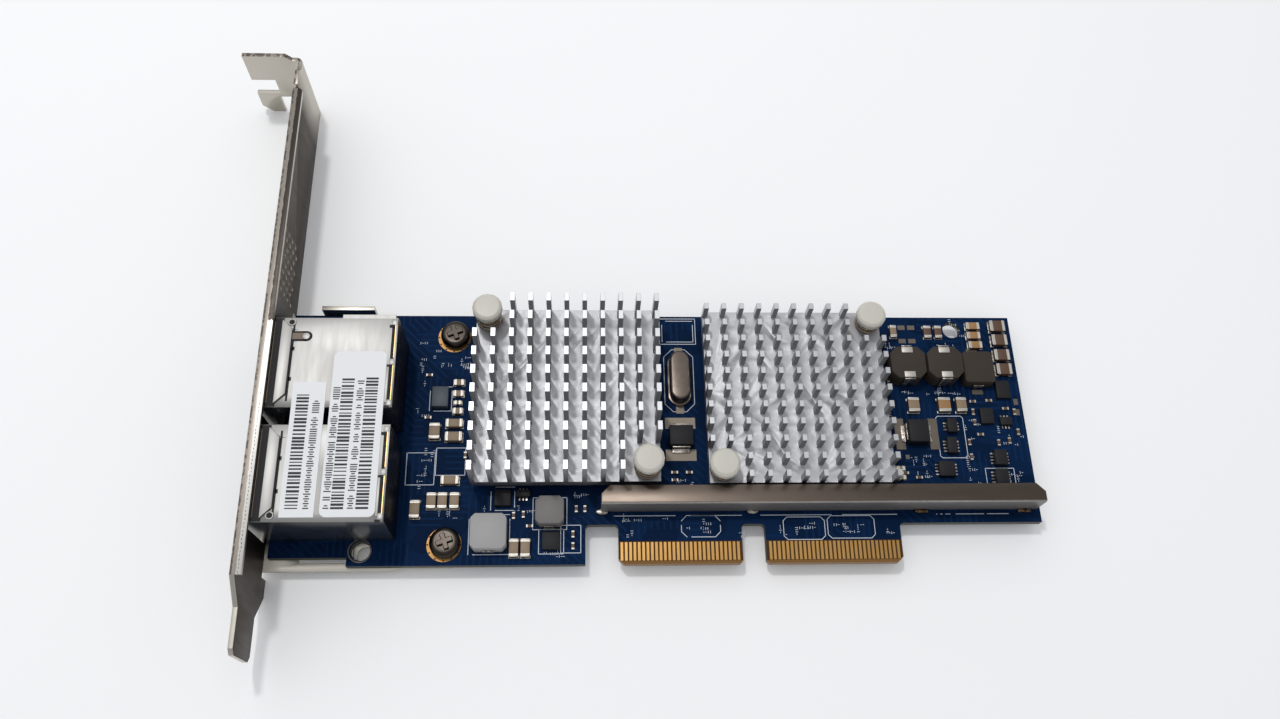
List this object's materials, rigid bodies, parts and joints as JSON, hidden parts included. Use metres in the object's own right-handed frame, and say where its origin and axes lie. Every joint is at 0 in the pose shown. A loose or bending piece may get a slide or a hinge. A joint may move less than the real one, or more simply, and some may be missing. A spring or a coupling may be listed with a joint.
{
  "type": "network interface card",
  "caption": "Expansion card with two network jacks, a folded slot bracket, gold card edge and pin-fin heat sinks on spring push pins.",
  "frame": {"origin": "middle of the key notch on the card edge, at the board's solder-side face", "axes": "+X along the board away from the slot bracket, +Y from the card edge to the far edge, +Z out of the component side"},
  "size_m": [0.157, 0.12, 0.0184],
  "materials": {
    "solder_mask": "semi-gloss navy solder mask over fibreglass",
    "gold": "bright gold plating",
    "bracket_steel": "satin plated sheet steel",
    "screw_steel": "bright plated steel",
    "shell_nickel": "satin nickel-plated sheet",
    "housing_plastic": "black moulded plastic",
    "light_pipe": "clear moulded plastic",
    "label_paper": "matt white paper",
    "sink_aluminium": "satin extruded aluminium",
    "chip_plastic": "matt black moulding compound",
    "thermal_pad": "soft grey pad",
    "nylon": "off-white nylon",
    "spring_steel": "bright drawn wire",
    "bar_steel": "satin plated sheet steel",
    "crystal_nickel": "satin nickel can",
    "ferrite": "matt dark ferrite",
    "tin": "bright tinned metal",
    "capacitor_ceramic": "matt tan ceramic"
  },
  "bodies": {
    "root": {"circuit_board": "solder_mask", "edge_contacts_front": "gold", "edge_contacts_back": "gold", "bracket": "bracket_steel", "bracket_screws": "screw_steel", "jack_shell_lower": "shell_nickel", "jack_shell_upper": "shell_nickel", "jack_housing_lower": "housing_plastic", "jack_housing_upper": "housing_plastic", "jack_contacts_lower": "gold", "jack_contacts_upper": "gold", "jack_light_pipes": "light_pipe", "label_front": "label_paper", "label_rear": "label_paper", "heat_sink_left": "sink_aluminium", "heat_sink_right": "sink_aluminium", "controller_chip_left": "chip_plastic", "controller_chip_right": "chip_plastic", "thermal_pads": "thermal_pad", "push_pins_left": "nylon", "push_pins_right": "nylon", "pin_springs_left": "spring_steel", "pin_springs_right": "spring_steel", "stiffener_bar": "bar_steel", "crystal_base": "crystal_nickel", "crystal_can": "crystal_nickel", "choke_bodies": "ferrite", "square_choke": "ferrite", "inductor_large": "ferrite", "inductor_small": "ferrite", "choke_clips": "tin", "diode_left": "chip_plastic", "diode_right": "chip_plastic", "diode_leads": "tin", "capacitor_bodies": "capacitor_ceramic", "capacitor_ends": "tin", "package_bodies": "chip_plastic", "package_leads": "tin"}
  },
  "joints": []
}
